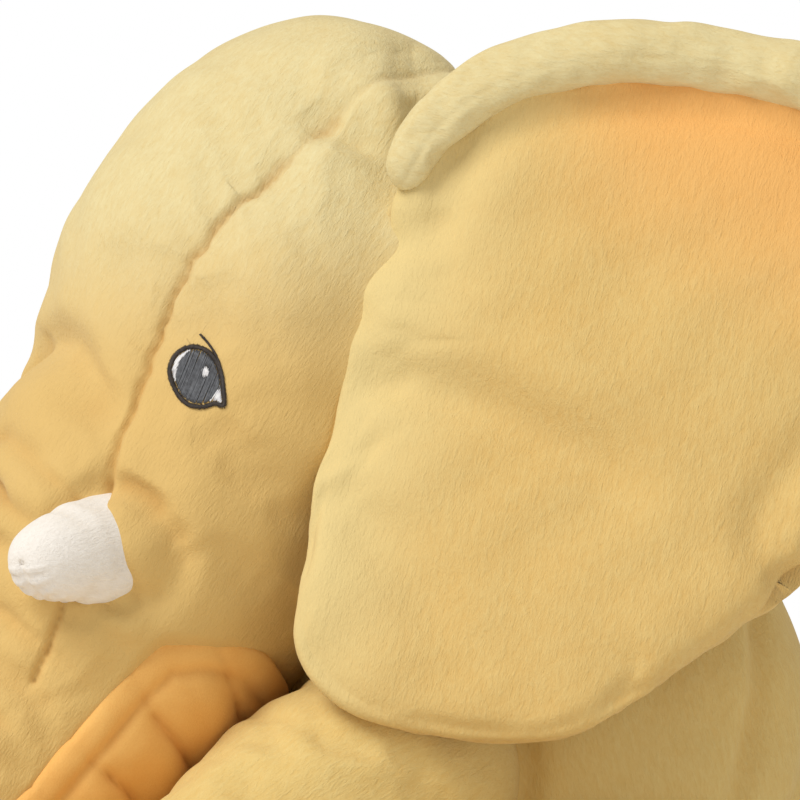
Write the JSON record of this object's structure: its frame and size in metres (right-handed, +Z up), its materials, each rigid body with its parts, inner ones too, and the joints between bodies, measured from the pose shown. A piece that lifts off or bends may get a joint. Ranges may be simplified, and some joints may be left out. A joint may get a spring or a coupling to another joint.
{
  "type": "stuffed elephant",
  "caption": "Sitting plush elephant with big padded ears, stubby white tusks, a thick trunk with an orange gathered underside, and soft legs held forward.",
  "frame": {"origin": "middle of the footprint, on the floor", "axes": "-Y the way it faces, +X its left side, +Z up"},
  "size_m": [0.4532, 0.5803, 0.4358],
  "materials": {
    "plush": "short directional pile, soft sheen",
    "underside_cloth": "smooth short-nap cloth, gathered",
    "white_plush": "fine short nap",
    "black_thread": "satin stitch embroidery",
    "grey_thread": "satin stitch embroidery",
    "white_thread": "satin stitch embroidery",
    "stuffing": "matt fibre filling"
  },
  "bodies": {
    "body": {"belly_panel": "plush", "back_panel_left": "plush", "back_panel_right": "plush", "base_panel": "plush", "body_filling": "stuffing"},
    "head": {"head_gusset": "plush", "head_side_left": "plush", "head_side_right": "plush", "chin_panel": "underside_cloth", "head_filling": "stuffing", "eye_left_outline": "black_thread", "eye_left_iris": "grey_thread", "eye_left_white": "white_thread", "eye_right_outline": "black_thread", "eye_right_iris": "grey_thread", "eye_right_white": "white_thread", "tusk_left_skin": "white_plush", "tusk_left_filling": "stuffing", "tusk_right_skin": "white_plush", "tusk_right_filling": "stuffing"},
    "ear_left": {"ear_left_front": "plush", "ear_left_back": "plush", "ear_left_padding": "stuffing"},
    "ear_right": {"ear_right_front": "plush", "ear_right_back": "plush", "ear_right_padding": "stuffing"},
    "trunk_upper": {"trunk_upper_skin": "plush", "trunk_upper_underside": "underside_cloth", "trunk_upper_filling": "stuffing"},
    "trunk_middle": {"trunk_middle_skin": "plush", "trunk_middle_underside": "underside_cloth", "trunk_middle_filling": "stuffing"},
    "trunk_tip": {"trunk_tip_skin": "plush", "trunk_tip_underside": "underside_cloth", "trunk_tip_filling": "stuffing", "trunk_end_disc": "underside_cloth"},
    "front_leg_left": {"front_leg_left_skin": "plush", "front_leg_left_sole": "underside_cloth", "front_leg_left_filling": "stuffing"},
    "front_leg_right": {"front_leg_right_skin": "plush", "front_leg_right_sole": "underside_cloth", "front_leg_right_filling": "stuffing"},
    "hind_leg_left": {"hind_leg_left_skin": "plush", "hind_leg_left_sole": "underside_cloth", "hind_leg_left_filling": "stuffing"},
    "hind_leg_right": {"hind_leg_right_skin": "plush", "hind_leg_right_sole": "underside_cloth", "hind_leg_right_filling": "stuffing"},
    "tail": {"tail_skin": "plush", "tail_tuft": "underside_cloth"}
  },
  "joints": [
    {"name": "head_nod", "type": "hinge", "parent": "body", "child": "head", "pos_m": [0, -0.00085, 0.33], "axis": [1, 0, 0], "range_deg": [-6, 0], "stiffness_Nm_per_rad": 60},
    {"name": "ear_left_spread", "type": "hinge", "parent": "head", "child": "ear_left", "pos_m": [0.0945, -0.01335, 0.332], "axis": [0.064, -0.3192, -0.9455], "range_deg": [0, 55], "stiffness_Nm_per_rad": 4},
    {"name": "ear_right_spread", "type": "hinge", "parent": "head", "child": "ear_right", "pos_m": [-0.0945, -0.01335, 0.332], "axis": [0.064, 0.3192, 0.9455], "range_deg": [0, 55], "stiffness_Nm_per_rad": 4},
    {"name": "trunk_root_bend", "type": "hinge", "parent": "head", "child": "trunk_upper", "pos_m": [0, -0.10227, 0.17677], "axis": [-1, 0, 0], "range_deg": [-5, 9], "stiffness_Nm_per_rad": 12},
    {"name": "trunk_middle_bend", "type": "hinge", "parent": "trunk_upper", "child": "trunk_middle", "pos_m": [0, -0.15045, 0.12326], "axis": [-1, 0, 0], "range_deg": [-5, 9], "stiffness_Nm_per_rad": 6},
    {"name": "trunk_tip_bend", "type": "hinge", "parent": "trunk_middle", "child": "trunk_tip", "pos_m": [0, -0.20098, 0.07776], "axis": [-1, 0, 0], "range_deg": [-5, 9], "stiffness_Nm_per_rad": 3},
    {"name": "front_leg_left_lift", "type": "hinge", "parent": "body", "child": "front_leg_left", "pos_m": [0.078, 0.00415, 0.148], "axis": [-1, 0, 0], "range_deg": [-8, 0], "stiffness_Nm_per_rad": 12},
    {"name": "front_leg_right_lift", "type": "hinge", "parent": "body", "child": "front_leg_right", "pos_m": [-0.078, 0.00415, 0.148], "axis": [-1, 0, 0], "range_deg": [-8, 0], "stiffness_Nm_per_rad": 12},
    {"name": "hind_leg_left_lift", "type": "hinge", "parent": "body", "child": "hind_leg_left", "pos_m": [0.105, 0.10415, 0.074], "axis": [-1, 0, 0], "range_deg": [-5, 12], "stiffness_Nm_per_rad": 12},
    {"name": "hind_leg_right_lift", "type": "hinge", "parent": "body", "child": "hind_leg_right", "pos_m": [-0.105, 0.10415, 0.074], "axis": [-1, 0, 0], "range_deg": [-5, 12], "stiffness_Nm_per_rad": 12},
    {"name": "tail_swing", "type": "hinge", "parent": "body", "child": "tail", "pos_m": [0, 0.21315, 0.092], "axis": [0, 0.6, 0.8], "range_deg": [-30, 30], "stiffness_Nm_per_rad": 0.3}
  ],
  "couplings": [
    {"joint": "trunk_middle_bend", "follows": "trunk_root_bend", "ratio": 1},
    {"joint": "trunk_tip_bend", "follows": "trunk_root_bend", "ratio": 1}
  ]
}
